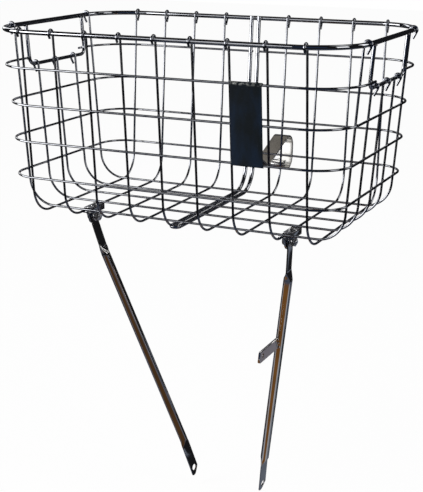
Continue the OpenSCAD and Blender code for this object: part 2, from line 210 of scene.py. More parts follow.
def enamel_finish(name, deep, blue):
    """Stoved enamel: an even dark coat with slight flow, and a band of bare metal at the top edge
    that is partly wear and partly a painted highlight of the fold.
    """
    made, paint = material(name)
    flow = paint.noise(60, 3, 0.5, paint.place((1, 1, 0.35)))
    peel = paint.noise(420, 2, 0.5)
    dust = paint.noise(1600, 1, 0.5).between(0.72, 0.8)
    colour = paint.mix(flow.between(0.35, 0.7), deep, blue)
    colour = paint.mix(dust * 0.3, colour, DUST)
    height = paint.node("ShaderNodeSeparateXYZ", {}, {"Vector": paint.place()})["Z"]
    # Band along the top fold where bare metal shows: partly real wear, partly a painted highlight of
    # the fold's rounded edge.
    top_edge = height.between(PLATE_TOP - RUBBED_AND_SHEEN_DEPTH, PLATE_TOP)
    rubbed_and_sheen = top_edge * paint.noise(260, 3).between(0.46, 0.6) * 0.8
    colour = paint.mix(rubbed_and_sheen, colour, BARE_METAL_AND_SHEEN)
    close(
        paint,
        Base_Color=colour,
        Metallic=rubbed_and_sheen,
        Roughness=0.32 + flow * 0.1 + dust * 0.2,
        Specular_IOR_Level=0.06,
        Normal=paint.bump(peel, 0.05, 0.0002),
    )
    return made


finishes = {
    # The mesh wires' plating is the rod's chrome made darker: painted shade for their blacker look.
    "mesh_wire": plated_finish("wire plating", (0.46, 0.47, 0.50), (0.38, 0.39, 0.42), 0.045),
    "heavy_wire": plated_finish("rod plating", (0.60, 0.61, 0.64), (0.52, 0.53, 0.56), 0.045),
    "strip": plated_finish("strip plating", (0.70, 0.69, 0.67), (0.60, 0.59, 0.57), 0.22),
    "leg": plated_finish("tube plating", (0.68, 0.67, 0.66), (0.58, 0.57, 0.56), 0.06),
    "bracket": plated_finish(
        "bracket plating", (0.62, 0.62, 0.63), (0.52, 0.52, 0.53), 0.1, metal=0.98
    ),
    "fastener": plated_finish(
        "fastener plating", (0.82, 0.82, 0.83), (0.70, 0.70, 0.71), 0.06, metal=0.95
    ),
    "plate": enamel_finish("plate enamel", (0.009, 0.012, 0.015), (0.010, 0.019, 0.038)),
}
weld_finish = plated_finish("weld plating", (0.60, 0.59, 0.58), (0.46, 0.44, 0.42), 0.2)

slot_of = {row["node"]: row["material_slot"] for row in frame["record"]["subparts"]}
for name, piece in nodes.items():
    piece.data.materials.clear()
    piece.data.materials.append(finishes[slot_of[name]])


# Sizes that the solids have, in millimetres, round the middle of the lowest hoop

LEAN = math.radians(4.3)
BASE_W, BASE_D = 188.7214, 113.2214
RIM_W, RIM_D, RIM_Z = 204.5, 129.0, 158.5
SEAT_Y, SEAT_Z = 214.6214, -10.6
HOOP_PITCH, CROSS_PITCH, LONG_PITCH = 40.0, 40.0, 39.0
WIRE_R, WELD = 1.25, 0.1
HOOP_OUT = 2 * WIRE_R + WELD
FLOOR_WIRE_Z = -42.4
CLAMP_X, CLAMP_Y, CLAMP_T = 120.0, -58.5, 2.0
PLATE_Z, LEAF_Z = -41.05, -43.75
SCREW_X, SCREW_D = 4.3, 5.0
PIVOT_ASIDE, PIVOT_Y, PIVOT_Z, PIVOT_D = 3.8, -45.7, -55.2, 6.0
TUBE_R, FLAT_W, FLAT_T = 5.0, 14.0, 2.0
EYE_STRIP, FOOT_EYE = 9.0, 8.5
KNEE = Vector((CLAMP_X - 6.4, PIVOT_Y + 4.2, PIVOT_Z - 44.3))
FOOT = Vector((47.5, PIVOT_Y + 100.1, PIVOT_Z - 347.8))
ANKLE = FOOT + Vector((8, -12.9, 43))
TAB_DROP = 128.6
TAB_ROOT = KNEE.lerp(ANKLE, (PIVOT_Z - TAB_DROP - KNEE.z) / (ANKLE.z - KNEE.z))
PLACED = Matrix.Scale(MM, 4) @ Matrix.Translation((0, -SEAT_Y, -SEAT_Z))


def wall(base, z, out):
    """Distance from the middle to a line that lies a given way outside the leaning wall."""
    return base + z * math.tan(LEAN) + out / math.cos(LEAN)


# Making of pieces

SAME_POINT, DRILL_LENGTH, EDGE_ROUND = 1e-6, 40.0, 0.45


def lofted(name, rings, place=PLACED, closed=False):
    """A skin carried by extruding from ring to ring; closed joins the last ring to the first."""
    bpy.ops.object.select_all(action="DESELECT")
    bpy.ops.mesh.primitive_circle_add(vertices=len(rings[0]), radius=1, fill_type="NGON")
    made = bpy.context.object
    made.name = name
    bpy.ops.object.mode_set(mode="EDIT")
    bpy.ops.mesh.select_all(action="SELECT")
    edit = bmesh.from_edit_mesh(made.data)
    spoke = edit.verts.layers.int.new("spoke")
    for index, vert in enumerate(edit.verts):
        vert[spoke] = index
    for step, ring in enumerate(rings + rings[:1] * closed):
        if step:
            bpy.ops.mesh.extrude_region_move()
        edit = bmesh.from_edit_mesh(made.data)
        spoke = edit.verts.layers.int["spoke"]
        for vert in edit.verts:
            if vert.select:
                vert.co = place @ Vector(ring[vert[spoke]])
        bmesh.update_edit_mesh(made.data)
    if closed:
        bpy.ops.mesh.select_all(action="DESELECT")
        bpy.ops.mesh.select_face_by_sides(number=4, type="GREATER")
        bpy.ops.mesh.delete(type="ONLY_FACE")
    bpy.ops.mesh.select_all(action="SELECT")
    bpy.ops.mesh.remove_doubles(threshold=SAME_POINT)
    bpy.ops.mesh.normals_make_consistent(inside=False)
    bpy.ops.object.mode_set(mode="OBJECT")
    made.data.attributes.remove(made.data.attributes["spoke"])
    return made


def drilled(piece, axis_point, diameter):
    """Takes a round hole along X out of a piece."""
    bpy.ops.object.select_all(action="DESELECT")
    bpy.ops.mesh.primitive_cylinder_add(
        vertices=48, radius=diameter / 2 * MM, depth=DRILL_LENGTH * MM,
        location=PLACED @ Vector(axis_point), rotation=(0, math.pi / 2, 0),
    )
    drill = bpy.context.object
    cut = piece.modifiers.new("hole", "BOOLEAN")
    cut.operation = "DIFFERENCE"
    cut.solver = "EXACT"
    cut.object = drill
    bpy.context.view_layer.objects.active = piece
    bpy.ops.object.modifier_apply(modifier=cut.name)
    bpy.data.objects.remove(drill)


def eased(piece, width):
    """Breaks the sharp edges of a piece with a small round."""
    bpy.context.view_layer.objects.active = piece
    bevel = piece.modifiers.new("edges", "BEVEL")
    bevel.width = width * MM
    bevel.segments = 2
    bevel.limit_method = "ANGLE"
    bevel.angle_limit = math.radians(50)
    bpy.ops.object.modifier_apply(modifier=bevel.name)


def joined(name, parts):
    """One piece out of several."""
    bpy.ops.object.select_all(action="DESELECT")
    for part in parts:
        part.select_set(True)
    bpy.context.view_layer.objects.active = parts[0]
    bpy.ops.object.join()
    parts[0].name = name
    return parts[0]


def fitted(piece, body, slot, *stands_for, smooth=35, finish=None):
    """Smooths a finished piece, gives it its finish and seats it on its body."""
    bpy.ops.object.select_all(action="DESELECT")
    piece.select_set(True)
    bpy.context.view_layer.objects.active = piece
    bpy.ops.object.shade_smooth_by_angle(angle=math.radians(smooth))
    piece.data.materials.clear()
    piece.data.materials.append(finish or finishes[slot])
    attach(piece, body)
    if stands_for:
        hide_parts(*stands_for)


def rounded_copy(name, node, width):
    """A merged copy of a solid with its edges broken."""
    made = bpy.data.objects.new(name, nodes[node].data.copy())
    scene.collection.objects.link(made)
    bpy.ops.object.select_all(action="DESELECT")
    made.select_set(True)
    bpy.context.view_layer.objects.active = made
    bpy.ops.object.mode_set(mode="EDIT")
    bpy.ops.mesh.select_all(action="SELECT")
    bpy.ops.mesh.remove_doubles(threshold=SAME_POINT)
    bpy.ops.mesh.dissolve_limited(angle_limit=math.radians(0.5))
    bpy.ops.mesh.normals_make_consistent(inside=False)
    bpy.ops.object.mode_set(mode="OBJECT")
    bpy.ops.mesh.customdata_custom_splitnormals_clear()
    eased(made, width)
    return made


# Bent strips; close rings hold the shading of a run flat up to its bends

CLOSE, BEND_STEP = 0.8, 6.0


def strip_profile(thick, wide, edge):
    """A rectangle across a strip, with rounded edges, as offsets up and aside."""
    points = []
    for up, aside, start in ((1, 1, 0), (-1, 1, 90), (-1, -1, 180), (1, -1, 270)):
        for step in range(4):
            angle = math.radians(start + step * 30)
            points.append((
                up * (thick / 2 - edge) + edge * math.cos(angle),
                aside * (wide / 2 - edge) + edge * math.sin(angle),
            ))
    return points


def strip_rings(profile, moves, start):
    """Rings of a profile carried along runs (length,) and bends (radius, turn to the left)."""
    steps = [Matrix()]
    for move in moves:
        if len(move) == 1:
            runs = (CLOSE, move[0] - 2 * CLOSE, CLOSE)
            steps += [Matrix.Translation((run, 0, 0)) for run in runs]
        else:
            radius, turn = move
            count = max(2, round(abs(turn) / BEND_STEP))
            middle = Matrix.Translation((0, math.copysign(radius, turn), 0))
            part = Matrix.Rotation(math.radians(turn / count), 4, "Z")
            steps += [middle @ part @ middle.inverted()] * count
    rings = []
    here = start
    for step in steps:
        here = here @ step
        rings.append([here @ Vector((0, up, aside)) for up, aside in profile])
    return rings


def side_view(y, z, turn):
    """A start in the plane across the basket, heading turn degrees up from straight back."""
    return (
        Matrix.Translation((0, y, z))
        @ Matrix(((0, 0, 1, 0), (1, 0, 0, 0), (0, 1, 0, 0), (0, 0, 0, 1)))
        @ Matrix.Rotation(math.radians(turn), 4, "Z")
    )


def handlebar_hook():
    """The bent strip that hangs the basket on a handlebar."""
    thick, wide, edge, first_bend = 2.0, 20.0, 0.6, 4.0
    lie = HOOP_OUT + WIRE_R + WELD + thick / 2
    high_z, low_z = HOOP_PITCH + 8, -5.0
    slope, ramp, seat_mid = math.radians(22), 66.0, 12.8 + thick / 2
    low = Vector((wall(BASE_D, low_z, lie), low_z))
    fold = (
        Vector((SEAT_Y, SEAT_Z))
        + seat_mid * Vector((-math.sin(slope), math.cos(slope)))
        - ramp * Vector((math.cos(slope), math.sin(slope)))
    )
    link = fold - low
    link_slope = math.atan2(link[1], link[0])
    first_turn = link_slope + math.pi / 2 + LEAN
    fold_turn = slope - link_slope
    first_cut = first_bend * math.tan(first_turn / 2)
    fold_cut = thick * math.tan(fold_turn / 2)
    moves = [
        ((high_z - low_z) / math.cos(LEAN) - first_cut,),
        (first_bend, math.degrees(first_turn)),
        (link.length - first_cut - fold_cut,),
        (thick, math.degrees(fold_turn)),
        (ramp - fold_cut,),
        (seat_mid, -115),
        (13,),
        (15.5, -107),
        (8,),
        (4.3, -160),
        (3.5,),
    ]
    start = side_view(wall(BASE_D, high_z, lie), high_z, -90 - math.degrees(LEAN))
    made = lofted("hook_strip", strip_rings(strip_profile(thick, wide, edge), moves, start))
    fitted(made, "basket", "strip", "handlebar_hook")


def front_plate():
    """The sheet folded over two hoops at the front."""
    thick, wide, edge, gap = 1.0, 34.0, 0.35, 0.4
    hem = WIRE_R + WELD + thick / 2
    rise = 2 * HOOP_PITCH / math.cos(LEAN)
    low = wall(BASE_D, HOOP_PITCH, HOOP_OUT)
    x = 2 * CROSS_PITCH + WIRE_R + gap + wide / 2
    start = (
        Matrix.Translation((x, 0, 0))
        @ Matrix.Scale(-1, 4, (0, 1, 0))
        @ side_view(low, HOOP_PITCH, -math.degrees(LEAN))
        @ Matrix.Translation((0, -hem, 0))
    )
    moves = [(hem, 90), (rise,), (hem, 150)]
    made = lofted("plate_sheet", strip_rings(strip_profile(thick, wide, edge), moves, start))
    fitted(made, "basket", "plate", "front_plate")


# Legs, squeezed from a ROUND ring to a SQUARE one

ROUND, SQUARE = 2, 5
SQUEEZE_RUN, SQUEEZE_STEPS, FOLD_NEAR = 10.0, 20, 0.06
TOP_TILT, FOOT_TILT = math.atan(0.095), math.atan(0.3)
LEFT_FOOT_TURN, RIGHT_FOOT_TURN = 7, -10
# Turns of the rings round the top end, in degrees
TOP_END = (86, 72, 58, 44, 30, 15, 0)
# Height from the eye, front edge and back edge of the rings at a foot's cut end
FOOT_END = (
    (-1.5, -7.0, 7.0), (-4.5, -7.0, 4.0), (-7.3, -7.0, 0.8),
    (-8.3, -6.6, -0.4), (-8.8, -5.9, -1.6),
)


def squeezed_ring(middle, aside, along, half_wide, half_thick, square):
    """A ring across a tube, an ellipse where square is ROUND and flat-sided where it is SQUARE."""
    ring = []
    for step in range(72):
        angle = math.radians(step * 5)
        wide, thick = math.cos(angle), math.sin(angle)
        swell = (abs(wide) ** square + abs(thick) ** square) ** (-1 / square)
        ring.append(middle + swell * (aside * wide * half_wide + along * thick * half_thick))
    return ring


def leg(side, name, node, body, foot_turn):
    """A round tube with both ends squeezed flat, bent at the knee and the ankle."""
    flat, thin = FLAT_W / 2, FLAT_T / 2
    pivot = Vector((CLAMP_X - side * PIVOT_ASIDE, PIVOT_Y, PIVOT_Z))
    axis = (ANKLE - KNEE).normalized()
    across = Vector((1, 0, 0))
    tube_thin = (across - axis * axis.x).normalized()
    tube_wide = tube_thin.cross(axis)

    def squeezed_end(eye, bend, way, wide, thick):
        """Rings from the end of the flat strip at an eye to the full tube at a bend."""
        strip_end = eye + way * EYE_STRIP
        fold = bend + SQUEEZE_RUN * (strip_end - bend).normalized()
        made = []
        for middle in (strip_end, fold.lerp(strip_end, FOLD_NEAR), fold):
            made.append(squeezed_ring(middle, wide, thick, flat, thin, SQUARE))
        for step in range(1, SQUEEZE_STEPS + 1):
            share = step / SQUEEZE_STEPS
            ease = share * share * (3 - 2 * share)
            made.append(squeezed_ring(
                fold.lerp(bend, share),
                wide.lerp(tube_wide, ease).normalized(),
                thick.lerp(tube_thin, ease).normalized(),
                flat + (TUBE_R - flat) * ease,
                thin + (TUBE_R - thin) * (share + ease) / 2,
                SQUARE + (ROUND - SQUARE) * ease,
            ))
        return made

    wide = Vector((0, math.cos(TOP_TILT), math.sin(TOP_TILT)))
    up = Vector((0, -math.sin(TOP_TILT), math.cos(TOP_TILT)))
    rings = []
    for angle in TOP_END:
        turn = math.radians(angle)
        middle = pivot + up * flat * math.sin(turn)
        rings.append(squeezed_ring(middle, wide, across, flat * math.cos(turn), thin, SQUARE))
    rings += squeezed_end(pivot, KNEE, -up, wide, across)
    for bend, away in ((KNEE, 1), (KNEE, 3), (ANKLE, -3), (ANKLE, -1)):
        rings.append(squeezed_ring(bend + axis * away, tube_wide, tube_thin, TUBE_R, TUBE_R, ROUND))
    up = (ANKLE - FOOT).normalized()
    upright = Vector((0, math.cos(FOOT_TILT), math.sin(FOOT_TILT)))
    wide = Matrix.Rotation(math.radians(foot_turn), 3, up) @ upright
    thick = wide.cross(up)
    rings += squeezed_end(FOOT, ANKLE, up, wide, thick)[::-1]
    for rise, front, back in FOOT_END:
        middle = FOOT + up * rise + wide * ((front + back) / 2)
        rings.append(squeezed_ring(middle, wide, thick, (back - front) / 2, thin, SQUARE))
    made = lofted(name, rings, PLACED @ Matrix.Scale(side, 4, (1, 0, 0)))
    drilled(made, (side * pivot.x, pivot.y, pivot.z), PIVOT_D + WELD)
    drilled(made, (side * FOOT.x, FOOT.y, FOOT.z), FOOT_EYE)
    fitted(made, body, "leg", node)


def rounded_outline(corners, inset):
    """Points round a flat shape, drawn in by an inset; corners (x, y, radius) go anticlockwise."""
    points = []
    for index, (x, y, radius) in enumerate(corners):
        here = Vector((x, y))
        before = (here - Vector(corners[index - 1][:2])).normalized()
        after = (Vector(corners[(index + 1) % len(corners)][:2]) - here).normalized()
        turn = math.atan2(before.x * after.y - before.y * after.x, before.dot(after))
        start = math.atan2(-before.x, before.y)
        middle = here + (after - before).normalized() * radius / math.cos(turn / 2)
        for step in range(7):
            angle = start + turn * step / 6
            points.append(middle + (radius - inset) * Vector((math.cos(angle), math.sin(angle))))
    return points


def lamp_tab():
    """The flat tab on the right leg, with a round hole near its free end."""
    length, half, thick = 57.0, 6.2, 3.0
    edge, nick = 0.5, 0.15
    hole, hole_in, hole_up = 5.5, 9.0, 0.5
    corners = ((-length, -half, 2.0), (0, -half, 0.6), (-3, half, 0.6), (3.4 - length, half, 0.8))
    near_face = ((0, edge), (nick, nick), (edge, 0))
    far_face = [(thick - across, inset) for across, inset in reversed(near_face)]
    rings = []
    for across, inset in (*near_face, *far_face):
        outline = rounded_outline(corners, inset)
        rings.append([TAB_ROOT + Vector((across - thick, y, z)) for y, z in outline])
    made = lofted("lamp_tab_plate", rings)
    drilled(made, TAB_ROOT + Vector((-thick / 2, hole_in - length, hole_up)), hole)
    fitted(made, "right_leg", slot_of["lamp_tab"], "lamp_tab", smooth=15)


# Fasteners

AROUND = [math.radians(step * 7.5) for step in range(48)]
# Shares of a screw's or bolt's diameter
HEX_CORNER, HEX_HEAD_H, NUT_H, DOME_R, DOME_H = 0.89, 0.65, 0.8, 0.95, 0.6
# Shares of a hexagon's corner radius: where its bevel starts, and the dish in a bolt's head
BEVEL_AT, DISH_IN, DISH_OUT = 0.84, 0.5, 0.62
BEVEL_RISE = math.tan(math.radians(30))
NUT_LEAD, DISH_DEPTH, DOME_EDGE, DOME_STEPS = 0.35, 0.25, 0.2, 12
# Threads, with their depth as a share of the pitch
THREAD_STEPS, THREAD_DEPTH, RUN_OUT, POINT, POINT_EDGE = 5, 0.6, 0.2, 0.5, 0.2
SCREW_PITCH, SCREW_SHANK, SCREW_SPARE = 0.8, 2.4, 2.0
BOLT_PITCH, BOLT_SHANK, BOLT_SPARE, BOLT_HEAD_X = 1.0, 0.6, 1.5, 7.1
LEG_PLAY, WASHER_T = 0.3, 1.0


def round_ring(radius, z):
    """A circle at a height."""
    return [(radius * math.cos(a), radius * math.sin(a), z) for a in AROUND]


def hex_ring(corner, z, bevel_from=None, rise=0):
    """A six-sided ring; with a bevel its height falls or rises with the distance past a circle."""
    ring = []
    for a in AROUND:
        radius = corner * math.cos(math.pi / 6) / math.cos((a % (math.pi / 3)) - math.pi / 6)
        slope = 0 if bevel_from is None else rise * (radius - bevel_from)
        ring.append((radius * math.cos(a), radius * math.sin(a), z + slope))
    return ring


def thread_ring(radius, depth, pitch, z):
    """A ring of a screw thread, whose groove climbs once round for each pitch."""
    ring = []
    for a in AROUND:
        share = (z / pitch - a / (2 * math.pi)) % 1
        reach = radius - depth * abs(2 * share - 1)
        ring.append((reach * math.cos(a), reach * math.sin(a), z))
    return ring


def nut(name, diameter, place):
    """A hexagon nut with both faces bevelled to a circle."""
    corner, height, hole = HEX_CORNER * diameter, NUT_H * diameter, diameter / 2 + WELD
    circle, lead = corner * BEVEL_AT, hole + NUT_LEAD
    rings = [
        round_ring(hole, NUT_LEAD), round_ring(lead, 0), round_ring(circle, 0),
        hex_ring(corner, 0, circle, BEVEL_RISE), hex_ring(corner, height, circle, -BEVEL_RISE),
        round_ring(circle, height), round_ring(lead, height), round_ring(hole, height - NUT_LEAD),
    ]
    return lofted(name, rings, place, closed=True)


def threaded_rings(radius, pitch, start, end):
    """Rings of a thread from start to end, with a bevelled point."""
    depth = THREAD_DEPTH * pitch
    rings = []
    count = round(abs(end - start) / (pitch / THREAD_STEPS))
    for step in range(count + 1):
        rings.append(thread_ring(radius, depth, pitch, start + (end - start) * step / count))
    away = math.copysign(POINT, end - start)
    rings.append(round_ring(radius - depth, end + away * POINT_EDGE))
    rings.append(round_ring(radius - depth - POINT, end + away))
    return rings


def domed_screw(name, place):
    """A clamp screw with a domed head."""
    radius, head_r, head_h = SCREW_D / 2, DOME_R * SCREW_D, DOME_H * SCREW_D
    ball = (head_r ** 2 + head_h ** 2) / (2 * head_h)
    top = PLATE_Z + CLAMP_T + WELD
    end = LEAF_Z - CLAMP_T - NUT_H * SCREW_D - SCREW_SPARE
    rings = []
    for step in range(1, DOME_STEPS + 1):
        angle = math.asin(head_r / ball) * step / DOME_STEPS
        z = top + head_h - ball + ball * math.cos(angle)
        rings.append(round_ring(ball * math.sin(angle), z))
    rings += [
        round_ring(head_r - DOME_EDGE, top), round_ring(radius, top),
        round_ring(radius, top - SCREW_SHANK),
    ]
    rings += threaded_rings(radius, SCREW_PITCH, top - SCREW_SHANK - RUN_OUT, end + POINT)
    return lofted(name, rings, place)


def hinge_bolt(name, face, place):
    """A pivot bolt with a hexagon head; face is where the washer lies on the leg."""
    inner = PIVOT_ASIDE - BOLT_HEAD_X - WELD
    outer = face + WASHER_T + WELD + NUT_H * PIVOT_D + BOLT_SPARE
    radius, corner = PIVOT_D / 2, HEX_CORNER * PIVOT_D
    head_end, circle = inner - HEX_HEAD_H * PIVOT_D, corner * BEVEL_AT
    shank_end = face + BOLT_SHANK
    rings = [
        round_ring(corner * DISH_IN, head_end + DISH_DEPTH), round_ring(corner * DISH_OUT, head_end),
        round_ring(circle, head_end), hex_ring(corner, head_end, circle, BEVEL_RISE),
        hex_ring(corner, inner), round_ring(radius, inner), round_ring(radius, shank_end),
    ]
    rings += threaded_rings(radius, BOLT_PITCH, shank_end + RUN_OUT, outer - POINT)
    return lofted(name, rings, place)


def hinge_washer(name, face, place):
    """A flat washer with its edges broken."""
    hole, rim = PIVOT_D / 2 + WELD, PIVOT_D
    lead, edge, nick = 0.15, 0.3, 0.09
    lower = ((hole, lead), (hole + lead, 0), (rim - edge, 0), (rim - nick, nick), (rim, edge))
    upper = [(radius, WASHER_T - z) for radius, z in reversed(lower)]
    rings = [round_ring(radius, face + z) for radius, z in (*lower, *upper)]
    return lofted(name, rings, place, closed=True)


def fasteners():
    """Clamp screws with their nuts, and pivot bolts with their washers and nuts, at both sides."""
    screws, screw_nuts, bolts, washers, bolt_nuts = [], [], [], [], []
    for side, mark in ((-1, "left"), (1, "right")):
        at_screw = PLACED @ Matrix.Translation((side * CLAMP_X + SCREW_X, CLAMP_Y, 0))
        low = LEAF_Z - CLAMP_T - WELD - NUT_H * SCREW_D
        at_screw_nut = at_screw @ Matrix.Translation((0, 0, low))
        screws.append(domed_screw("clamp_screw_" + mark, at_screw))
        screw_nuts.append(nut("clamp_nut_" + mark, SCREW_D, at_screw_nut))

        at_pivot = (
            PLACED
            @ Matrix.Translation((side * CLAMP_X - PIVOT_ASIDE, PIVOT_Y, PIVOT_Z))
            @ Matrix.Rotation(math.pi / 2, 4, "Y")
        )
        face = FLAT_T / 2 + LEG_PLAY
        at_bolt_nut = at_pivot @ Matrix.Translation((0, 0, face + WASHER_T + WELD))
        bolts.append(hinge_bolt("pivot_bolt_" + mark, face, at_pivot))
        washers.append(hinge_washer("pivot_washer_" + mark, face, at_pivot))
        bolt_nuts.append(nut("pivot_nut_" + mark, PIVOT_D, at_bolt_nut))
    for name, parts, node in (
        ("domed_screws", screws, "clamp_screws"), ("screw_nuts", screw_nuts, "clamp_nuts"),
        ("hinge_bolts", bolts, "pivot_bolts"), ("hinge_washers", washers, "pivot_washers"),
        ("hinge_nuts", bolt_nuts, "pivot_nuts"),
    ):
        fitted(joined(name, parts), "basket", "fastener", node, smooth=28)


# Welds where pieces meet; a size is half the width and half the height of a nugget

CROSS_WIRES, LONG_WIRES, HOOPS = range(-4, 5), range(-2, 3), range(4)
HAIRPIN_X, HOOK_WELD_X = 4.6, 6.44
CROSS_WELD, HAIRPIN_WELD, RIM_HAIRPIN_WELD = (1.75, 0.8), (2.1, 0.9), (2.3, 0.9)
LOOP_WELD, RIM_LOOP_WELD, HOOK_WELD = (2.0, 0.9), (2.7, 1.0), (2.2, 0.8)
UPRIGHTS = ((-50.5, 66.0), (-57.0, 57.0))
UPPER_HOOP, LOOP_OUT, RIM_WELD_DROP = 3 * HOOP_PITCH, 5.4, 2.6
CORNER_DRAW = 0.3


def weld_places():
    """Middle, outward way and size of each weld, in millimetres."""
    places = []
    front = Vector((0, -math.cos(LEAN), -math.sin(LEAN)))
    back = Vector((0, math.cos(LEAN), -math.sin(LEAN)))
    up = Vector((0, 0, 1))
    sides = [(way, Vector((way * math.cos(LEAN), 0, -math.sin(LEAN)))) for way in (-1, 1)]
    for level in HOOPS:
        z = level * HOOP_PITCH
        deep = wall(BASE_D, z, HOOP_OUT / 2)
        for k in CROSS_WIRES:
            drawn = CORNER_DRAW if abs(k) == CROSS_WIRES[-1] else 0.0
            places.append(((k * CROSS_PITCH, drawn - deep, z), front, CROSS_WELD))
            if k:
                places.append(((k * CROSS_PITCH, deep - drawn, z), back, CROSS_WELD))
        for x in (-HAIRPIN_X, HAIRPIN_X):
            places.append(((x, deep, z), back, HAIRPIN_WELD))
        if level < HOOPS[-1]:
            for j in LONG_WIRES:
                for way, outward in sides:
                    place = (way * wall(BASE_W, z, HOOP_OUT / 2), j * LONG_PITCH, z)
                    places.append((place, outward, CROSS_WELD))
    floor_z = FLOOR_WIRE_Z + HOOP_OUT / 2
    for j in LONG_WIRES:
        for k in filter(None, CROSS_WIRES):
            places.append(((k * CROSS_PITCH, j * LONG_PITCH, floor_z), up, CROSS_WELD))
        for x in (-HAIRPIN_X, HAIRPIN_X):
            places.append(((x, j * LONG_PITCH, floor_z), up, HAIRPIN_WELD))
    for (way, outward), uprights in zip(sides, UPRIGHTS):
        for y in uprights:
            beside = way * wall(BASE_W, UPPER_HOOP, LOOP_OUT)
            places.append(((beside, y, UPPER_HOOP), outward, LOOP_WELD))
            places.append(((way * (RIM_W - WELD), y, RIM_Z - RIM_WELD_DROP), up, RIM_LOOP_WELD))
    for way, _ in sides:
        under_rim = (way * HAIRPIN_X, RIM_D - RIM_WELD_DROP, RIM_Z)
        places.append((under_rim, back, RIM_HAIRPIN_WELD))
        for z in (0, HOOP_PITCH):
            behind = wall(BASE_D, z, HOOP_OUT + WIRE_R + WELD / 2)
            places.append(((way * HOOK_WELD_X, behind, z), back, HOOK_WELD))
    return places


def tab_weld_places():
    """Three beads where the lamp tab meets the right leg."""
    lean = (KNEE - ANKLE) / (KNEE.z - ANKLE.z)
    outward = Vector((0.7, -0.7, 0))
    return [
        (TAB_ROOT + Vector((0.5, lean.y * z - TUBE_R, z)), outward, size)
        for z, size in ((5.3, (1.7, 1.2)), (0.4, (1.4, 1.0)), (-5.0, (1.8, 1.2)))
    ]


def welds(name, places, body, slot):
    """Small squeezed-out nuggets, modelled once and set at each place."""
    bpy.ops.object.select_all(action="DESELECT")
    bpy.ops.mesh.primitive_uv_sphere_add(segments=10, ring_count=6, radius=MM)
    pattern = bpy.context.object
    bpy.ops.object.mode_set(mode="EDIT")
    edit = bmesh.from_edit_mesh(pattern.data)
    for vert in edit.verts:
        around = math.atan2(vert.co.y, vert.co.x)
        swell = 1 - 0.12 * math.cos(4 * around)
        vert.co.x *= swell
        vert.co.y *= swell
    bmesh.update_edit_mesh(pattern.data)
    bpy.ops.object.mode_set(mode="OBJECT")
    parts = []
    for place, way, (wide, thick) in places:
        nugget = bpy.data.objects.new("weld", pattern.data.copy())
        turn = Vector(way).to_track_quat("Z", "Y").to_matrix().to_4x4()
        size = Matrix.Diagonal((wide, wide, thick, 1))
        nugget.data.transform(Matrix.Translation(PLACED @ Vector(place)) @ turn @ size)
        scene.collection.objects.link(nugget)
        parts.append(nugget)
    bpy.data.objects.remove(pattern)
    fitted(joined(name, parts), body, slot, smooth=60, finish=weld_finish)


handlebar_hook()
front_plate()
leg(-1, "left_leg_tube", "left_leg", "left_leg", LEFT_FOOT_TURN)
leg(1, "right_leg_tube", "right_leg", "right_leg", RIGHT_FOOT_TURN)
lamp_tab()
fasteners()
welds("weld_nuggets", weld_places(), "basket", "mesh_wire")
welds("tab_weld", tab_weld_places(), "right_leg", "leg")
for name, node in (
    ("left_clamp_cover", "left_clamp_plate"), ("right_clamp_cover", "right_clamp_plate"),
    ("left_hinge_bracket", "left_leg_bracket"), ("right_hinge_bracket", "right_leg_bracket"),
):
    fitted(rounded_copy(name, node, EDGE_ROUND), "basket", slot_of[node], node, smooth=25)


# Studio, in metres: a pale floor, a white background, soft lamps and cards that only gloss sees

def seen(paint):
    """1 for what the camera sees, in gloss and through glass too, and 0 for other light."""
    rays = paint.node("ShaderNodeLightPath")
    return (rays["Is Camera Ray"] + rays["Is Glossy Ray"] + rays["Is Transmission Ray"]).clamp()


world = bpy.data.worlds.new("studio")
scene.world = world
world.use_nodes = True
sky = Paint(world.node_tree)
white_seen = sky.mix(seen(sky), (0.6, 0.6, 0.6), (1.0, 1.0, 1.0))
background = sky.node("ShaderNodeBackground", {}, {"Color": white_seen, "Strength": 1.0})
sky.node("ShaderNodeOutputWorld", {}, {"Surface": background["Background"]})

CAMERA_AT = Vector((0.54272, -1.34712, 0.29211))
CAMERA_WAY = Vector((-0.413, 0.8659, -0.2822))
CAMERA_ROLL, CAMERA_LENS = math.radians(0.148), 83.77
FLOOR_Z, FLOOR_SIZE, FLOOR_WHITE = cad_box[0].z - 0.012, 14, 0.94
WALL_AT, WALL_WIDE, WALL_LOW, WALL_HIGH = 2.4, 5.2, -0.6, 2.0
STUDIO_Y = -0.2
NEAR_CARD, FAR_CARD, LEG_CARD_TAPER = 0.11, 0.115, 0.4
HOOK_LEFT, HOOK_RIGHT, HOOK_GLOW = -0.03, 0.003, 1.7
HOOK_LINE = ((-0.0173, -0.018), (-0.0173, 0.005), (-0.004, 0.0055))
BLACK = (0.012, 0.012, 0.014)
NAVY = (0.022, 0.034, 0.066)
SLATE = (0.075, 0.09, 0.125)
BROWN = (0.19, 0.085, 0.024)
UMBER = (0.085, 0.044, 0.019)
PALE = (0.42, 0.43, 0.46)
GREY = (0.15, 0.15, 0.16)
STEEL = (0.14, 0.16, 0.2)
LILAC = (0.21, 0.2, 0.23)
DUSK = (0.13, 0.13, 0.16)
BEIGE = (0.22, 0.205, 0.185)
WHITE = (1.0, 1.0, 1.0)


def glow_card(made, name, colour, strength=1.0, one_sided=False):
    """Makes a card glow for reflections alone, as flags and soft boxes round polished metal."""
    made.name = name
    finish, paint = material(name + " paper")
    glow = paint.node("ShaderNodeEmission", {}, {"Color": colour, "Strength": strength})
    shader = glow["Emission"]
    if one_sided:
        clear = paint.node("ShaderNodeBsdfTransparent")["BSDF"]
        back = paint.node("ShaderNodeNewGeometry")["Backfacing"]
        both = paint.node("ShaderNodeMixShader", {}, {"Fac": back, 1: shader, 2: clear})
        shader = both["Shader"]
    paint.node("ShaderNodeOutputMaterial", {}, {"Surface": shader})
    made.data.materials.append(finish)
    made.visible_camera = False
    made.visible_diffuse = False
    made.visible_shadow = False


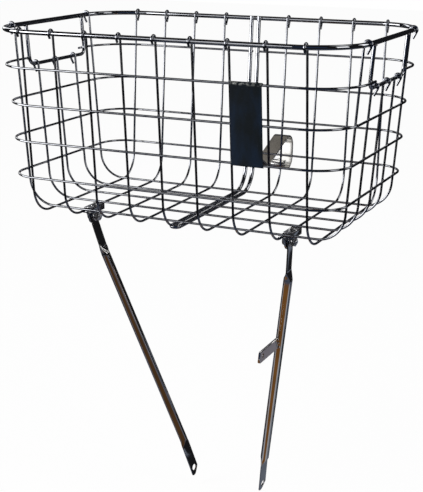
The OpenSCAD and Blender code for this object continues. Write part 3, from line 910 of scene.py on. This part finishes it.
def studio_card(name, place, turn, size, colour, strength=1.0):
    """A flat oblong card."""
    bpy.ops.object.select_all(action="DESELECT")
    angles = [math.radians(t) for t in turn]
    bpy.ops.mesh.primitive_plane_add(size=1, location=place, rotation=angles)
    made = bpy.context.object
    made.scale = (*size, 1)
    glow_card(made, name, colour, strength)


def cut_card(name, corners, colour, strength=1.0):
    """A card cut to four corners."""
    bpy.ops.object.select_all(action="DESELECT")
    bpy.ops.mesh.primitive_circle_add(vertices=4, fill_type="NGON")
    made = bpy.context.object
    for vertex, corner in zip(made.data.vertices, corners):
        vertex.co = corner
    glow_card(made, name, colour, strength)


def leg_card(name, side, knee_turns, ankle_turns, reach, colour):
    """A curved card along a leg that lights a band of its tube, between turns from the camera."""
    bpy.ops.object.select_all(action="DESELECT")
    bpy.ops.mesh.primitive_grid_add(x_subdivisions=12, y_subdivisions=6, size=1)
    made = bpy.context.object
    mirror = PLACED @ Matrix.Scale(side, 4, (1, 0, 0))
    knee, ankle = mirror @ KNEE, mirror @ ANKLE
    axis = (ankle - knee).normalized()
    for vertex in made.data.vertices:
        across, along = vertex.co.x + 0.5, vertex.co.y + 0.5
        point = knee.lerp(ankle, along)
        look = (point - CAMERA_AT).normalized()
        near = (look.dot(axis) * axis - look).normalized()
        first, last = (k + (a - k) * along for k, a in zip(knee_turns, ankle_turns))
        turn = math.radians(first + (last - first) * across)
        away = reach * (1 - LEG_CARD_TAPER * along)
        vertex.co = point + away * look.reflect(Matrix.Rotation(-turn, 3, axis) @ near)
    glow_card(made, name, colour, one_sided=True)


def wall_card(name, way, reach, width, low, high, colour, strength=1.0):
    """A standing card; way is the turn from the front, positive to the left, in degrees."""
    angle = math.radians(way)
    place = (-reach * math.sin(angle), STUDIO_Y - reach * math.cos(angle), (low + high) / 2)
    studio_card(name, place, (90, 0, -way), (width, high - low), colour, strength)


def floor_card(name, left, right, front, back, lift, colour):
    """A card that lies on the floor."""
    place = ((left + right) / 2, (front + back) / 2, FLOOR_Z + lift)
    studio_card(name, place, (0, 0, 0), (right - left, back - front), colour)


for name, way, colour in (
    ("front_flag", 0, NAVY), ("left_flag", 90, BLACK),
    ("rear_flag", 180, BLACK), ("right_flag", 270, BLACK),
):
    wall_card(name, way, WALL_AT, WALL_WIDE, WALL_LOW, WALL_HIGH, colour)
studio_card("roof_flag", (0, STUDIO_Y, WALL_HIGH), (0, 0, 0), (WALL_WIDE, WALL_WIDE), BLACK)
studio_card("roof_paper", (-0.9, 1.2, WALL_HIGH - 0.05), (0, 0, 0), (1.3, 1.2), BEIGE)
studio_card("roof_soft_box", (0.9, 0.3, WALL_HIGH - 0.05), (0, 0, 0), (0.8, 0.8), WHITE, 0.9)
wall_card("left_soft_box", 57, 2.0, 1.9, -0.05, 1.0, WHITE, 4.2)
wall_card("front_soft_box", 23, 2.05, 0.62, 0.45, 1.1, WHITE, 1.3)
wall_card("low_soft_box", 22, 2.05, 0.3, FLOOR_Z, -0.1, WHITE, 1.0)
wall_card("right_soft_box", -74, 2.0, 0.8, 0.03, 1.2, WHITE, 1.6)
for name, way in (("rear_left_soft_box", 122), ("rear_right_soft_box", -128)):
    wall_card(name, way, 2.0, 0.7, 0.25, 1.5, WHITE, 1.6)
floor_card("floor_flag", -2.6, 2.6, -2.8, 2.4, 0.002, BLACK)
floor_card("floor_slate", -0.35, 0.6, -0.66, 0.2, 0.003, SLATE)
floor_card("floor_steel", 0.045, 0.3, -0.2, -0.088, 0.004, STEEL)
floor_card("floor_dark", -0.2, 0.045, -0.17, 0.2, 0.004, BLACK)
floor_card("floor_dark_right", 0.045, 0.3, -0.088, 0.2, 0.004, BLACK)
floor_card("floor_lilac", 0.24, 0.44, 0.201, 0.45, 0.004, LILAC)
floor_card("floor_rear_slate", 0.48, 0.95, 0.45, 1.15, 0.004, STEEL)
wall_card("rear_paper", 154, 2.3, 0.9, 0.3, 1.1, GREY)
leg_card("right_leg_brown", 1, (-42, 22), (-15, 10), NEAR_CARD, BROWN)
leg_card("right_leg_pale", 1, (-48, 34), (-32, 28), FAR_CARD, PALE)
leg_card("left_leg_brown", -1, (-34, 0), (-46, 20), NEAR_CARD, UMBER)
leg_card("left_leg_slate", -1, (-52, 14), (-60, 27), FAR_CARD, DUSK)
for name, low, high in (("hook_card", *HOOK_LINE[:2]), ("hook_roof_card", *HOOK_LINE[1:])):
    cut_card(name, [
        (HOOK_LEFT, *high), (HOOK_LEFT, *low), (HOOK_RIGHT, *low), (HOOK_RIGHT, *high),
    ], WHITE, HOOK_GLOW)

bpy.ops.object.select_all(action="DESELECT")
bpy.ops.mesh.primitive_plane_add(size=FLOOR_SIZE, location=(0, 0, FLOOR_Z))
floor = bpy.context.object
floor.name = "floor"
floor_finish, paint = material("floor paper")
diffuse = paint.node("ShaderNodeBsdfDiffuse", {}, {"Color": (0.9, 0.9, 0.9)})
glow = paint.node("ShaderNodeEmission", {}, {"Color": WHITE, "Strength": 1.0})
white_share = seen(paint) * FLOOR_WHITE
both = paint.node(
    "ShaderNodeMixShader", {}, {"Fac": white_share, 1: diffuse["BSDF"], 2: glow["Emission"]}
)
paint.node("ShaderNodeOutputMaterial", {}, {"Surface": both["Shader"]})
floor.data.materials.append(floor_finish)

centre = (cad_box[0] + cad_box[1]) / 2


def soft_lamp(name, place, size, power):
    """A soft square lamp that points at the basket."""
    data = bpy.data.lights.new(name, "AREA")
    data.shape = "SQUARE"
    data.size = size
    data.energy = power
    made = bpy.data.objects.new(name, data)
    made.location = place
    made.rotation_euler = (centre - Vector(place)).to_track_quat("-Z", "Y").to_euler()
    made.visible_glossy = False
    scene.collection.objects.link(made)


soft_lamp("key_lamp", (-1.1, -1.3, 1.4), 0.7, 19)
soft_lamp("fill_lamp", (1.6, -0.5, 1.2), 0.5, 8)


# Camera at the photograph's angle

camera_data = bpy.data.cameras.new("camera")
camera_data.lens = CAMERA_LENS
camera_data.sensor_width = 36
camera = bpy.data.objects.new("camera", camera_data)
camera.matrix_world = (
    Matrix.Translation(CAMERA_AT)
    @ CAMERA_WAY.to_track_quat("-Z", "Y").to_matrix().to_4x4()
    @ Matrix.Rotation(CAMERA_ROLL, 4, "Z")
)
scene.collection.objects.link(camera)
scene.camera = camera
scene.view_settings.view_transform = "Standard"
